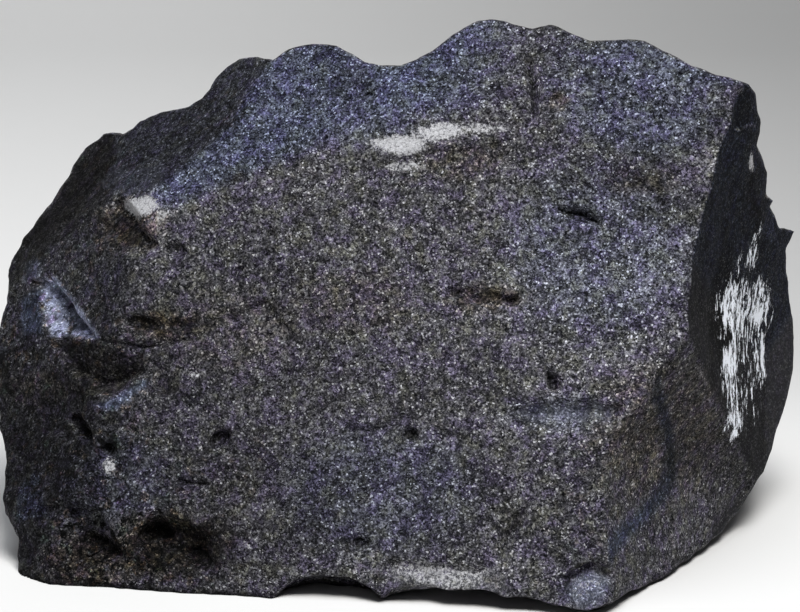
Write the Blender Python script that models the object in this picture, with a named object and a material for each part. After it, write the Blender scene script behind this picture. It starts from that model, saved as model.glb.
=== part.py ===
"""A hand specimen of basalt: one broken stone, about 112 mm across, in one piece.

The stone is carved out of fracture faces. Its front is a set of planes hinged on arrises, its
outline is a broken edge all round, its back is a ring of flat fractures, and flake scars, ledges,
hollows and pits are cut into them. Its surface is found along rays from the inside of the
stone, and is then thinned to few triangles, which keeps the arrises sharp.

Two frames serve for that. Sight places are millimetres to the right, up and near (towards the
viewer), square to the line of sight to the front. View places are pixels across and down in a
picture of the front, VIEW_SIZE large, taken from VIEW_DISTANCE.
"""

import math

import bpy
import numpy as np

MM = 0.001

# Driving sizes, in millimetres unless they say otherwise
STONE_SCALE = 1.0  # 1 gives a stone 112 mm across
SIGHT_TILT = math.radians(14.0)  # how far the line of sight to the front looks down
VIEW_SIZE = (800, 612)
VIEW_DISTANCE = 450.0
VIEW_PIXEL = 0.139  # what one pixel of the view covers at the middle of the stone
REST_LEVEL = -33.6  # the supporting surface, below the middle of the view
HEART = np.array([-1.0, -3.0, -3.0])
BLOCK = np.array([57.0, 38.0, 31.0])  # half sizes of the block whose sides the rays are spread over
PLATE_SHARE = 0.6  # the rays start on a flat plate inside the stone, this share of the block
FINE_CELL = 0.80  # the spacing of the rays
TRIANGLES = 9400
FLAT_WITHIN = 0.15  # points this near the supporting surface are put on it

# The front: depth of the main face at the middle, and how it leans to the right and upwards
MAIN_DEPTH = 19.7
MAIN_LEAN_RIGHT = 0.153
MAIN_LEAN_UP = -0.105

# Faces that fall away from the ones before them. Each is hinged on an arris from one view place to
# the next, and on the left of that line, as the view shows it, the face falls back by so much for
# each millimetre. The last number is how far its arris is rounded.
FRONT_FACES = {
    "left_turn": ((230, 600), (330, 150), 0.27, 6.0),
    "far_left_turn": ((50, 600), (158, 200), 1.05, 1.5),
    "upper_band_left": ((150, 208), (360, 150), 0.52, 0.8),
    "upper_band": ((360, 150), (520, 118), 0.48, 0.8),
    "upper_right": ((500, 122), (740, 140), 0.40, 2.0),
    "right_crease": ((500, 190), (650, 370), 0.02, 0.8),
    "lower_turn": ((560, 470), (200, 450), 0.02, 4.0),
    "left_bevel": ((144, 193), (240, 118), 1.55, 0.8),
    "outer_left": ((30, 268), (112, 140), 1.90, 0.6),
    "right_middle": ((692, 240), (688, 333), 2.67, 0.5),
    "right_scar": ((688, 333), (606, 443), 1.50, 0.6),
}

# Faces that stand out again from one of those, so that the two meet in a valley: each by the face
# it joins, three view places with their nearness, and how far the valley is rounded
JOINED_FACES = {
    "left_bevel_top": ("left_bevel", ((240, 118, 10.5), (273, 60, 8.0), (226, 80, 0.0)), 0.6),
    "right_upper": ("right_middle", ((753, 93, 17.5), (692, 240, 24.9), (750, 240, 4.5)), 0.6),
    "right_ledge": ("right_middle", ((766, 255, -13.0), (766, 365, -13.0), (790, 310, -18.0)), 0.8),
    "right_flare": ("right_scar", ((606, 605, 25.9), (662, 562, 11.8), (641, 482, 16.8)), 3.0),
}

# The outline of the front in the view, clockwise from the left foot to the right foot, and then
# round below the stone, where its base cuts it off
OUTLINE = (
    (30, 592), (19, 578), (18, 556), (20, 540), (14, 528), (8, 514), (4, 500), (4, 475),
    (6, 460), (5, 445), (0, 425), (-1, 381), (-4, 362), (2, 318), (8, 300), (8, 270),
    (14, 255), (20, 244), (31, 227), (40, 216), (54, 199), (68, 180), (73, 167), (86, 148),
    (98, 140), (104, 134), (113, 133), (123, 135), (132, 128), (140, 121), (160, 113),
    (176, 110), (189, 108), (203, 99), (211, 89), (216, 79), (227, 68), (240, 60), (256, 58),
    (274, 60), (284, 52), (294, 47), (309, 44), (337, 45), (349, 52), (365, 62), (381, 66),
    (400, 65), (415, 60), (433, 50), (451, 36), (464, 27), (479, 19), (491, 16), (503, 20),
    (512, 24), (533, 28), (550, 23), (560, 26), (573, 33), (590, 40), (610, 40), (628, 39),
    (644, 41), (659, 49), (675, 57), (693, 67), (716, 75), (736, 80), (749, 85), (755, 93),
    (757, 110), (760, 122), (757, 145), (764, 165), (767, 172), (766, 195), (769, 205),
    (774, 202), (774, 215), (779, 228), (785, 229), (795, 230), (791, 240), (786, 248),
    (787, 272), (789, 295), (793, 319), (794, 345), (792, 372), (785, 406), (776, 432),
    (770, 452), (763, 471), (750, 491), (737, 511), (723, 531), (698, 551), (672, 572),
    (650, 584), (628, 592), (612, 602), (596, 609), (570, 618), (400, 700), (60, 660),
)
OUTLINE_INSET = 0.0  # in pixels
RIM_STARTS = 1.5  # how far behind the front's edge the stone starts to narrow
RIM_FALL = 0.24  # how fast it narrows
RIM_CALMS = 8.0  # how far behind the edge the teeth of the outline have died away
RIM_CALM_TURN = math.radians(9.0)  # how much of the turn round the stone a calm outline averages
RIM_CALM_OUT = 8.0  # how far outside the real outline the calm one may stand, in pixels
EDGE_SEARCH = (-30.0, 40.0)  # the nearness of the front's edge lies between these

# Wander: noise that bends every face, its size, and how far it moves each kind of face
WANDER_SIZE = 7.0
WANDER_FRONT = 0.35
WANDER_CUTS = 5.0  # in pixels
WANDER_BACK = 1.2
WANDER_SCARS = 0.4
WANDER_REACH = 0.35  # how far, as a share of a ray, the wander can move the surface
HALVINGS = 11
RAY_END = 2.4  # how far the rays go, as a share of their run to the block

# How far the faces are rounded into one another
ROUND_RIM = 0.5
ROUND_BACK = 0.8
ROUND_SCARS = 0.4

# Broken texture: height and size of its waves, its bites and its grit, and how much rougher than
# the rest the left and the foot are
WAVES = (0.16, 12.0)
BITES = (0.34, 4.6)
GRIT = (0.16, 2.2)
ROUGH_EVEN = 0.45
ROUGH_LEFT = (0.9, 190.0, 120.0)  # how much, where it starts in the view, and over how many pixels
ROUGH_FOOT = (0.6, 480.0, 110.0)

# The back: which way each fracture faces, in degrees to the right of the front and up from the
# level, and how far it stands from the heart of the stone
BACK_FACES = {
    "back": (178.0, 8.0, 27.0),
    "back_top": (168.0, 50.0, 34.0),
    "back_left": (-132.0, 10.0, 51.5),
    "back_left_top": (-146.0, 44.0, 45.0),
    "back_right": (152.0, 2.0, 44.0),
    "back_right_top": (140.0, 44.0, 46.0),
    "back_foot": (178.0, -38.0, 30.0),
    "left_foot": (-112.0, -40.0, 57.0),
    "right_foot": (130.0, -40.0, 54.0),
}

# Balls that flakes were struck along: middle in sight places, and radius
FLAKE_SCARS = {
    "arch_left": (-9.4, -46.4, 18.5, 10.6),
    "arch_middle": (1.4, -42.9, 21.5, 6.2),
    "arch_right": (11.4, -78.3, 12.4, 41.8),
    "back_bite": (-14.0, 20.0, -58.0, 34.0),
    "back_low_bite": (22.0, -6.0, -62.0, 36.0),
    "left_back_bite": (-66.0, 4.0, -34.0, 24.0),
    "top_bite": (16.0, 62.0, -22.0, 32.0),
}

# Chips in the front: how deep each goes, and its corners in the view. From the side that leads to
# the next corner, the chip deepens over so many pixels: few make a step, many a slope.
CHIPS = {
    "tip_recess": (2.8, (123, 199, 3), (164, 246, 22), (150, 264, 40), (96, 244, 40), (98, 212, 14)),
    "light_triangle": (4.4, (30, 278, 14), (52, 272, 3), (100, 337, 10), (50, 337, 42)),
    "dark_hollow": (3.6, (46, 336, 22), (99, 336, 46), (150, 347, 5), (149, 376, 8),
                    (127, 389, 9), (83, 397, 22)),
    "round_hollow": (1.3, (150, 362, 16), (170, 352, 24), (192, 362, 22), (190, 382, 9),
                     (172, 399, 6), (152, 393, 6)),
    "green_facet": (1.4, (20, 345, 18), (70, 352, 30), (92, 400, 20), (80, 446, 12), (24, 440, 30)),
    "left_ledge": (1.8, (14, 512, 8), (62, 500, 4), (104, 513, 5), (132, 562, 30), (50, 580, 60)),
    "brown_hollow": (2.0, (130, 530, 12), (160, 507, 9), (216, 536, 14), (216, 572, 20),
                     (150, 570, 20)),
    "crescent": (1.3, (478, 396, 3), (560, 402, 3), (642, 389, 10), (612, 442, 26),
                 (522, 442, 30)),
    "vee_ledge": (0.7, (606, 163, 3), (640, 180, 3), (668, 174, 12), (662, 204, 24),
                  (620, 200, 22)),
    "foot_chip": (2.2, (560, 580, 4), (590, 564, 4), (614, 572, 10), (610, 612, 60), (574, 612, 12)),
    "foot_strip": (1.2, (376, 568, 4), (440, 558, 5), (492, 566, 8), (500, 600, 60), (380, 600, 60)),
    "corner_break": (1.6, (733, 80, 12), (775, 90, 60), (775, 134, 8), (733, 128, 10)),
    "top_groove_step": (0.7, (536, 55, 3), (541, 120, 20), (566, 112, 24), (566, 60, 24)),
    "middle_scar": (0.5, (320, 176, 3), (420, 148, 3), (512, 140, 14), (500, 196, 40),
                    (360, 216, 40)),
    "lower_scar": (0.7, (318, 440, 4), (405, 410, 4), (470, 438, 20), (440, 520, 50),
                   (340, 520, 40)),
    "left_scar": (0.6, (196, 330, 5), (262, 296, 4), (300, 340, 24), (262, 410, 40),
                  (204, 400, 30)),
}

# Pits in the front: place in the view, half length, half width, how far it is turned, and depth
PITS = (
    (82, 427, 17, 9, 45, 2.0), (109, 448, 9, 8, 30, 1.3), (220, 440, 13, 10, -40, 1.3),
    (177, 249, 12, 7, 10, 0.8), (143, 322, 22, 11, 10, 1.0), (104, 546, 24, 11, 20, 1.7),
    (160, 530, 19, 12, 10, 1.4), (197, 562, 18, 13, 30, 1.2), (555, 380, 8, 12, 0, 1.3),
    (410, 430, 12, 9, 20, 1.1), (360, 545, 11, 9, 10, 1.0), (488, 297, 38, 11, 12, 0.8),
    (532, 90, 7, 34, -4, 0.9), (584, 215, 22, 7, 18, 0.8), (516, 522, 8, 22, 25, 0.7),
)


def sight_place(across, down, near):
    """Sight place of what the view shows there, at that nearness."""
    pixel = VIEW_PIXEL * (1.0 - near / VIEW_DISTANCE)
    return np.array([(across - VIEW_SIZE[0] / 2) * pixel, (VIEW_SIZE[1] / 2 - down) * pixel, near])


def view_place(sight):
    """Where the view shows these sight places: across and down."""
    pixel = VIEW_PIXEL * (1.0 - sight[:, 2] / VIEW_DISTANCE)
    return VIEW_SIZE[0] / 2 + sight[:, 0] / pixel, VIEW_SIZE[1] / 2 - sight[:, 1] / pixel


def to_world(sight):
    """Sight places turned to the world, where the line of sight looks along +Y and down."""
    c, s = math.cos(SIGHT_TILT), math.sin(SIGHT_TILT)
    right, up, near = sight[..., 0], sight[..., 1], sight[..., 2]
    return np.stack([right, up * s - near * c, up * c + near * s], axis=-1)


def mixed(values, salt):
    """A fixed shuffle of whole numbers into 0 to 1: multiply, shift and fold their bits."""
    n = (values.astype(np.int64) + salt * 374761393).astype(np.uint64)
    n = (n ^ (n >> np.uint64(15))) * np.uint64(2246822519) & np.uint64(0xFFFFFFFF)
    n = (n ^ (n >> np.uint64(13))) * np.uint64(3266489917) & np.uint64(0xFFFFFFFF)
    return ((n ^ (n >> np.uint64(16))) & np.uint64(0xFFFF)).astype(float) / 65535.0


def lattice_key(cell):
    """One whole number for each cell of a noise's lattice."""
    c = cell.astype(np.int64) & 0xFFFF
    return (c[:, 0] * 73856093) ^ (c[:, 1] * 19349663) ^ (c[:, 2] * 83492791)


def smooth_noise(points, size, salt):
    """Random values on a lattice of that size, blended smoothly between its corners; -1 to 1."""
    scaled = points / size
    base = np.floor(scaled)
    t = scaled - base
    t = t * t * (3.0 - 2.0 * t)
    total = np.zeros(len(points))
    for corner in np.ndindex(2, 2, 2):
        weight = np.ones(len(points))
        for axis, far in enumerate(corner):
            weight *= t[:, axis] if far else 1.0 - t[:, axis]
        total += weight * mixed(lattice_key(base + corner), salt)
    return total * 2.0 - 1.0


def layered_noise(points, size, layers, salt):
    """Smooth noise with copies of itself at half the size and half the height."""
    total = np.zeros(len(points))
    for layer in range(layers):
        total += smooth_noise(points, size / 2**layer, salt + layer) / 2**layer
    return total


def dimples(points, size, salt):
    """Shallow round bites with sharp rims between them: the squared distance to the nearest of
    points scattered one to a cell, 0 in the middle of a bite and about 1 at its rim."""
    scaled = points / size
    base = np.floor(scaled)
    nearest = np.full(len(points), 9.0)
    for step in np.ndindex(3, 3, 3):
        cell = base + np.array(step) - 1.0
        key = lattice_key(cell)
        middle = cell + np.stack([mixed(key, salt + axis) for axis in (1, 2, 3)], axis=1)
        nearest = np.minimum(nearest, ((scaled - middle) ** 2).sum(axis=1))
    return np.minimum(nearest, 1.0)


def eased(t):
    """A smooth step from 0 to 1."""
    t = np.clip(t, 0.0, 1.0)
    return t * t * (3.0 - 2.0 * t)


def rounded_most(a, b, reach):
    """The greater of two distances, rounded where they lie within reach of each other."""
    h = np.clip(0.5 + 0.5 * (a - b) / reach, 0.0, 1.0)
    return b + (a - b) * h + reach * h * (1.0 - h)


def rounded_least(a, b, reach):
    """The lesser of two distances, rounded in the same way."""
    return -rounded_most(-a, -b, reach)


def plane_of(one, two, three):
    """Facing and offset of the plane through three sight places, facing the viewer."""
    facing = np.cross(two - one, three - one)
    facing *= math.copysign(1.0, facing[2]) / np.linalg.norm(facing)
    return facing, facing @ one


def near_on(planes, across, down):
    """Sight place that the view shows there, where the hindmost of the planes meets that sight."""
    near = MAIN_DEPTH
    for _ in range(6):
        right, up, _ = sight_place(across, down, near)
        near = min((d - f[0] * right - f[1] * up) / f[2] for f, d in planes)
    return sight_place(across, down, near)


def front_planes():
    """The main face and each front face, hinged on the ones before it, with their rounding."""
    up, right = np.array([0.0, 10.0, 0.0]), np.array([10.0, 0.0, 0.0])
    middle = np.array([0.0, 0.0, MAIN_DEPTH])
    up[2], right[2] = 10.0 * MAIN_LEAN_UP, 10.0 * MAIN_LEAN_RIGHT
    planes, roundings = [plane_of(middle, middle + right, middle + up)], [1.0]
    for start, end, fall, rounding in FRONT_FACES.values():
        one, two = near_on(planes, *start), near_on(planes, *end)
        run = (two - one)[:2] / np.linalg.norm((two - one)[:2])
        three = one + np.array([-run[1], run[0], -fall])
        planes.append(plane_of(one, two, three))
        roundings.append(rounding)
    return planes, roundings


PLANES, ROUNDINGS = front_planes()
JOINED = [
    (list(FRONT_FACES).index(face) + 1, plane_of(*(sight_place(*p) for p in places)), rounding)
    for face, places, rounding in JOINED_FACES.values()
]


def chip_share(across, down, corners):
    """How much of its depth a chip has reached at these places of the view."""
    places = np.array([c[:2] for c in corners], float)
    middle = places.mean(axis=0)
    share = np.ones(len(across))
    for k, (x, y, run) in enumerate(corners):
        end = places[(k + 1) % len(corners)]
        side = np.array([y - end[1], end[0] - x]) / math.dist((x, y), end)
        side *= math.copysign(1.0, side @ (middle - (x, y)))
        share = np.minimum(share, ((across - x) * side[0] + (down - y) * side[1]) / run)
    return np.maximum(share, 0.0)


def front_cuts(across, down, wander):
    """How deep chips and pits cut into the front, at places of the view that wander a little, so
    that no cut has a straight edge."""
    across, down = across + WANDER_CUTS * wander[:, 0], down + WANDER_CUTS * wander[:, 1]
    depth = np.zeros(len(across))
    for deep, *corners in CHIPS.values():
        depth = np.maximum(depth, deep * chip_share(across, down, corners))
    for x, y, long, wide, turned, deep in PITS:
        c, s = math.cos(math.radians(turned)), math.sin(math.radians(turned))
        one = ((across - x) * c + (down - y) * s) / long
        two = ((down - y) * c - (across - x) * s) / wide
        depth += deep * eased(1.15 - one**2 - two**2)
    return depth


def gap_to(plane, sight):
    """How far sight places stand outside a plane."""
    return sight @ plane[0] - plane[1]


def front_side(sight, wander):
    """How far sight places stand outside the front and the right side."""
    cuts = front_cuts(*view_place(sight), wander)
    cut = sight + WANDER_FRONT * wander + np.array([0.0, 0.0, 1.0]) * cuts[:, None]
    gaps = [gap_to(plane, cut) for plane in PLANES]
    for face, plane, rounding in JOINED:
        gaps[face] = rounded_least(gaps[face], gap_to(plane, cut), rounding)
    found = gaps[0]
    for gap, rounding in zip(gaps[1:], ROUNDINGS[1:]):
        found = rounded_most(found, gap, rounding)
    return found


def outline_tables():
    """The outline's reach from the heart in the view against the turn round it, with a calm copy,
    and how near the front's edge is there."""
    outline = np.array(OUTLINE, float)
    across, down = view_place(HEART[None, :])
    out = outline - (across[0], down[0])
    turn, reach = np.arctan2(out[:, 1], out[:, 0]), np.hypot(out[:, 0], out[:, 1])
    order = np.argsort(turn)
    full = 2.0 * math.pi
    steps = np.radians(np.arange(-180.0, 180.0, 0.25))
    reach = np.interp(steps, turn[order], reach[order], period=full)
    apart = np.abs(steps[:, None] - steps[None, :])
    weight = np.exp(-((np.minimum(apart, full - apart) / RIM_CALM_TURN) ** 2))
    calm = weight @ reach / weight.sum(axis=1)
    low, high = (np.full(len(steps), near) for near in EDGE_SEARCH)
    for _ in range(20):
        near = (low + high) / 2.0
        edge = np.stack([across[0] + np.cos(steps) * reach, down[0] + np.sin(steps) * reach])
        places = sight_place(edge[0], edge[1], near).T
        clear = front_side(places, np.zeros_like(places)) > 0.0
        high, low = np.where(clear, near, high), np.where(clear, low, near)
    even = np.minimum(weight @ low / weight.sum(axis=1), low)
    return steps, reach - OUTLINE_INSET, calm, even


TURNS, REACH, CALM_REACH, EDGE_NEAR = outline_tables()


def outline_side(sight):
    """How far places stand outside the outline, which narrows and calms down behind its edge."""
    across, down = view_place(sight)
    middle_across, middle_down = view_place(HEART[None, :])
    turn = np.arctan2(down - middle_down, across - middle_across)
    reach = np.hypot(down - middle_down, across - middle_across)
    full = 2.0 * math.pi
    edge = np.interp(turn, TURNS, REACH, period=full)
    calm = np.interp(turn, TURNS, CALM_REACH, period=full)
    near = np.interp(turn, TURNS, EDGE_NEAR, period=full)
    behind = np.maximum(near - RIM_STARTS - sight[:, 2], 0.0)
    edge = edge + (np.minimum(calm, edge + RIM_CALM_OUT) - edge) * eased(behind / RIM_CALMS)
    return (reach - edge) * VIEW_PIXEL + RIM_FALL * behind


def back_side(world):
    """How far places stand outside the ring of fractures round the back."""
    away = world - to_world(HEART)
    found = np.full(len(world), -99.0)
    for bearing, rise, distance in BACK_FACES.values():
        a, e = math.radians(bearing), math.radians(rise)
        facing = np.array([math.sin(a) * math.cos(e), -math.cos(a) * math.cos(e), math.sin(e)])
        found = rounded_most(found, away @ facing - distance, ROUND_BACK)
    return found


def outside(sight, wander):
    """Below 0 inside the stone and above 0 outside it, for sight places whose wander is given."""
    found = rounded_most(front_side(sight, wander), outline_side(sight), ROUND_RIM)
    found = rounded_most(found, back_side(to_world(sight + WANDER_BACK * wander)), ROUND_BACK)
    for right, up, near, radius in FLAKE_SCARS.values():
        gap = radius - np.linalg.norm(sight + WANDER_SCARS * wander - (right, up, near), axis=1)
        found = rounded_most(found, gap, ROUND_SCARS)
    return np.maximum(found, REST_LEVEL - to_world(sight)[:, 2])


def block_rays(cell):
    """Rays to an even grid over the six sides of the block, as their places on it from -1 to 1,
    and the squares between them. An edge that two sides share has one row of rays."""
    counts = [2 * round(half / cell) for half in BLOCK]
    corners, squares, start = [], [], 0
    for axis in range(3):
        one, two = (axis + 1) % 3, (axis + 2) % 3
        i, j = np.meshgrid(np.arange(counts[one] + 1), np.arange(counts[two] + 1), indexing="ij")
        number = np.arange(i.size).reshape(i.shape)
        quads = np.stack([number[:-1, :-1], number[1:, :-1], number[1:, 1:], number[:-1, 1:]], -1)
        quads = quads.reshape(-1, 4)
        for side in (0, counts[axis]):
            place = np.zeros((i.size, 3), int)
            place[:, axis], place[:, one], place[:, two] = side, i.ravel(), j.ravel()
            squares.append((quads if side else quads[:, ::-1]) + start)
            corners.append(place)
            start += i.size
    places, index = np.unique(np.concatenate(corners), axis=0, return_inverse=True)
    return places / np.array(counts) * 2.0 - 1.0, index.reshape(-1)[np.concatenate(squares)]


def halved(start, step, low, high, wander):
    """Where each ray leaves the stone, by halving the stretch from low to high again and again."""
    for _ in range(HALVINGS):
        middle = (low + high) / 2.0
        out = outside(start + step * middle[:, None], wander) > 0.0
        high, low = np.where(out, middle, high), np.where(out, low, middle)
    return (low + high) / 2.0


def carve(rays):
    """Where each ray leaves the stone: found once on even faces, and again with the wander that
    its faces have near there."""
    start = HEART + rays * BLOCK * (PLATE_SHARE, PLATE_SHARE, 0.0)
    step = HEART + rays * BLOCK - start
    still = np.zeros_like(rays)
    found = halved(start, step, np.zeros(len(rays)), np.full(len(rays), RAY_END), still)
    near = start + step * found[:, None]
    wander = np.stack([layered_noise(near, WANDER_SIZE, 3, salt) for salt in (11, 21, 31)], axis=1)
    low, high = np.maximum(found - WANDER_REACH, 0.0), found + WANDER_REACH
    found = halved(start, step, low, high, wander)
    return start + step * found[:, None]


def facing_of(points, squares):
    """Outward direction at each point: the mean of the squares that meet there."""
    a, b, c, d = (points[squares[:, k]] for k in range(4))
    across = np.cross(c - a, d - b)
    total = np.zeros_like(points)
    for k in range(4):
        np.add.at(total, squares[:, k], across)
    return total / np.linalg.norm(total, axis=1)[:, None]


def roughened(points, squares):
    """Broken texture, along the surface's facing: waves, shallow bites and a coarse grain, with
    the left and the foot rougher than the rest."""
    across, down = view_place(points)
    left = ROUGH_LEFT[0] * eased((ROUGH_LEFT[1] - across) / ROUGH_LEFT[2])
    foot = ROUGH_FOOT[0] * eased((down - ROUGH_FOOT[1]) / ROUGH_FOOT[2])
    rough = ROUGH_EVEN + left + foot
    relief = WAVES[0] * layered_noise(points, WAVES[1], 3, 5)
    relief += BITES[0] * rough * (dimples(points, BITES[1], 3) - 0.4)
    relief += GRIT[0] * rough * layered_noise(points, GRIT[1], 2, 9)
    return points + facing_of(points, squares) * relief[:, None]


def stone_surface(cell):
    """Points of the whole stone in the world, in metres, and its squares."""
    rays, squares = block_rays(cell)
    points = to_world(roughened(carve(rays), squares))
    points[:, 2] = np.maximum(points[:, 2] - REST_LEVEL, 0.0)
    middle = (points.min(axis=0) + points.max(axis=0)) / 2.0
    points[:, :2] -= middle[:2]
    return points * MM * STONE_SCALE, squares


def basalt_material():
    """Dark grey basalt, dull and a little blue."""
    material = bpy.data.materials.new("basalt")
    material.use_nodes = True
    shader = material.node_tree.nodes["Principled BSDF"]
    shader.inputs["Base Color"].default_value = (0.075, 0.074, 0.085, 1.0)
    shader.inputs["Roughness"].default_value = 0.62
    shader.inputs["Metallic"].default_value = 0.0
    return material


def add_stone():
    """The stone as one object, thinned by collapsing the edges that matter least."""
    points, squares = stone_surface(FINE_CELL)
    mesh = bpy.data.meshes.new("fine_rock")
    mesh.from_pydata(points.tolist(), [], squares.tolist())
    stone = bpy.data.objects.new("basalt_rock", mesh)
    bpy.context.scene.collection.objects.link(stone)
    mesh.materials.append(basalt_material())
    thin = stone.modifiers.new("Thin", "DECIMATE")
    thin.ratio = TRIANGLES / (2.0 * len(squares))
    depsgraph = bpy.context.evaluated_depsgraph_get()
    stone.data = bpy.data.meshes.new_from_object(stone.evaluated_get(depsgraph))
    stone.modifiers.clear()
    stone.data.name = "basalt_rock"
    for vertex in stone.data.vertices:
        if vertex.co.z < FLAT_WITHIN * MM:
            vertex.co.z = 0.0
    return stone


def main():
    for old in list(bpy.data.objects):
        bpy.data.objects.remove(old)
    add_stone()


main()
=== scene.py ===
"""The looks of a hand specimen of basalt: its broken surface worked out finely, its salt-and-pepper
grain, and a pale studio seen from the front.

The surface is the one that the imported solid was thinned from. Two frames serve for it. Sight places
are millimetres to the right, up and near (towards the viewer), square to the line of sight to the
front. View places are pixels across and down in a picture of the front, VIEW_SIZE large, taken from
VIEW_DISTANCE.
"""

import math

import bpy
import numpy as np
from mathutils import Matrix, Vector


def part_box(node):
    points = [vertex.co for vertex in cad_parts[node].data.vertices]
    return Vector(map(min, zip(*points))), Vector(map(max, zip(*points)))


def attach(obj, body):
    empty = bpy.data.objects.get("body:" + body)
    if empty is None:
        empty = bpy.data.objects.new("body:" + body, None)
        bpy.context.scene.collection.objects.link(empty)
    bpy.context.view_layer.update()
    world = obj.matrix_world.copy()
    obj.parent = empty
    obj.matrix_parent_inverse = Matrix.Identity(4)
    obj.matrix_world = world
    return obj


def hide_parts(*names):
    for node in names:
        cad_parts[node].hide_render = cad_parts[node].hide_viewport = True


MM = 0.001

# The view of the front, in millimetres unless it says otherwise
SIGHT_TILT = math.radians(14.0)  # how far the line of sight to the front looks down
VIEW_SIZE = (800, 612)  # pixels
VIEW_DISTANCE = 450.0
VIEW_PIXEL = 0.139  # what one pixel of the view covers at the middle of the stone
REST_LEVEL = -33.6  # the supporting surface, below the middle of the view

# Where the rays that find the surface start and go: from a flat plate inside the stone to a block
HEART = np.array([-1.0, -3.0, -3.0])
BLOCK = np.array([57.0, 38.0, 31.0])  # half sizes of the block whose sides the rays are spread over
PLATE_SHARE = 0.6  # the plate is this share of the block
RAY_GAPS = np.array([0.36, 0.36, 0.50])  # the spacing of the rays, across, up and deep
STONE_TRIANGLES = 196000

# The front: depth of the main face at the middle, and how it leans to the right and upwards
MAIN_DEPTH = 19.7
MAIN_LEAN_RIGHT = 0.153
MAIN_LEAN_UP = -0.105

# Faces that fall away from the ones before them. Each is hinged on an arris from one view place to
# the next, and on the left of that line, as the view shows it, the face falls back by so much for
# each millimetre. The last number is how far its arris is rounded.
FRONT_FACES = {
    "left_turn": ((230, 600), (330, 150), 0.27, 6.0),
    "far_left_turn": ((50, 600), (158, 200), 1.05, 1.5),
    "upper_band_left": ((150, 208), (360, 150), 0.52, 0.8),
    "upper_band": ((360, 150), (520, 118), 0.48, 0.8),
    "upper_right": ((500, 122), (740, 140), 0.40, 2.0),
    "right_crease": ((500, 190), (650, 370), 0.02, 0.8),
    "lower_turn": ((560, 470), (200, 450), 0.02, 4.0),
    "left_bevel": ((144, 193), (240, 118), 1.55, 0.8),
    "outer_left": ((30, 268), (112, 140), 1.90, 0.6),
    "right_middle": ((692, 240), (688, 333), 2.67, 0.5),
    "right_scar": ((688, 333), (606, 443), 1.50, 0.6),
}

# Faces that stand out again from one of those, so that the two meet in a valley: each by the face
# it joins, three view places with their nearness, and how far the valley is rounded
JOINED_FACES = {
    "left_bevel_top": ("left_bevel", ((240, 118, 10.5), (273, 60, 8.0), (226, 80, 0.0)), 0.6),
    "right_upper": ("right_middle", ((753, 93, 17.5), (692, 240, 24.9), (750, 240, 4.5)), 0.6),
    "right_ledge": ("right_middle", ((766, 255, -13.0), (766, 365, -13.0), (790, 310, -18.0)), 0.8),
    "right_flare": ("right_scar", ((606, 605, 25.9), (662, 562, 11.8), (641, 482, 16.8)), 3.0),
}

# The outline of the front in the view, clockwise from the left foot to the right foot, and then
# round below the stone, where its base cuts it off
OUTLINE = (
    (30, 592), (19, 578), (18, 556), (20, 540), (14, 528), (8, 514), (4, 500), (4, 475),
    (6, 460), (5, 445), (0, 425), (-1, 381), (-4, 362), (2, 318), (8, 300), (8, 270),
    (14, 255), (20, 244), (31, 227), (40, 216), (54, 199), (68, 180), (73, 167), (86, 148),
    (98, 140), (104, 134), (113, 133), (123, 135), (132, 128), (140, 121), (160, 113),
    (176, 110), (189, 108), (203, 99), (211, 89), (216, 79), (227, 68), (240, 60), (256, 58),
    (274, 60), (284, 52), (294, 47), (309, 44), (337, 45), (349, 52), (365, 62), (381, 66),
    (400, 65), (415, 60), (433, 50), (451, 36), (464, 27), (479, 19), (491, 16), (503, 20),
    (512, 24), (533, 28), (550, 23), (560, 26), (573, 33), (590, 40), (610, 40), (628, 39),
    (644, 41), (659, 49), (675, 57), (693, 67), (716, 75), (736, 80), (749, 85), (755, 93),
    (757, 110), (760, 122), (757, 145), (764, 165), (767, 172), (766, 195), (769, 205),
    (774, 202), (774, 215), (779, 228), (785, 229), (795, 230), (791, 240), (786, 248),
    (787, 272), (789, 295), (793, 319), (794, 345), (792, 372), (785, 406), (776, 432),
    (770, 452), (763, 471), (750, 491), (737, 511), (723, 531), (698, 551), (672, 572),
    (650, 584), (628, 592), (612, 602), (596, 609), (570, 618), (400, 700), (60, 660),
)
OUTLINE_TURNS = np.radians(np.arange(-180.0, 180.0, 0.25))  # where its reach is worked out
RIM_STARTS = 1.5  # how far behind the front's edge the stone starts to narrow
RIM_FALL = 0.24  # how fast it narrows
RIM_CALMS = 8.0  # how far behind the edge the teeth of the outline have died away
RIM_CALM_TURN = math.radians(9.0)  # how much of the turn round the stone a calm outline averages
RIM_CALM_OUT = 8.0  # how far outside the real outline the calm one may stand, in pixels
EDGE_SEARCH = (-30.0, 40.0)  # the nearness of the front's edge lies between these
EDGE_HALVINGS = 20

# Wander: noise that bends every face, its size, and how far it moves each kind of face
WANDER_SIZE = 7.0
WANDER_FRONT = 0.35
WANDER_CUTS = 5.0  # in pixels
WANDER_BACK = 1.2
WANDER_SCARS = 0.4
WANDER_REACH = 0.35  # how far, as a share of a ray, the wander can move the surface
HALVINGS = 11
RAY_END = 2.4  # how far the rays go, as a share of their run to the block

# How far the faces are rounded into one another
ROUND_RIM = 0.5
ROUND_BACK = 0.8
ROUND_SCARS = 0.4

# Broken texture: height and size of its waves, its bites and its grit, and how much rougher than
# the rest the left and the foot are
WAVES = (0.16, 12.0)
BITES = (0.34, 4.6)
GRIT = (0.16, 2.2)
FINE_GRIT = (0.05, 0.9)
BITE_MIDDLE = 0.4  # the height in a bite, from 0 to 1, that the even surface passes through
ROUGH_EVEN = 0.45
ROUGH_LEFT = (0.9, 190.0, 120.0)  # how much, where it starts in the view, and over how many pixels
ROUGH_FOOT = (0.6, 480.0, 110.0)

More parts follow.
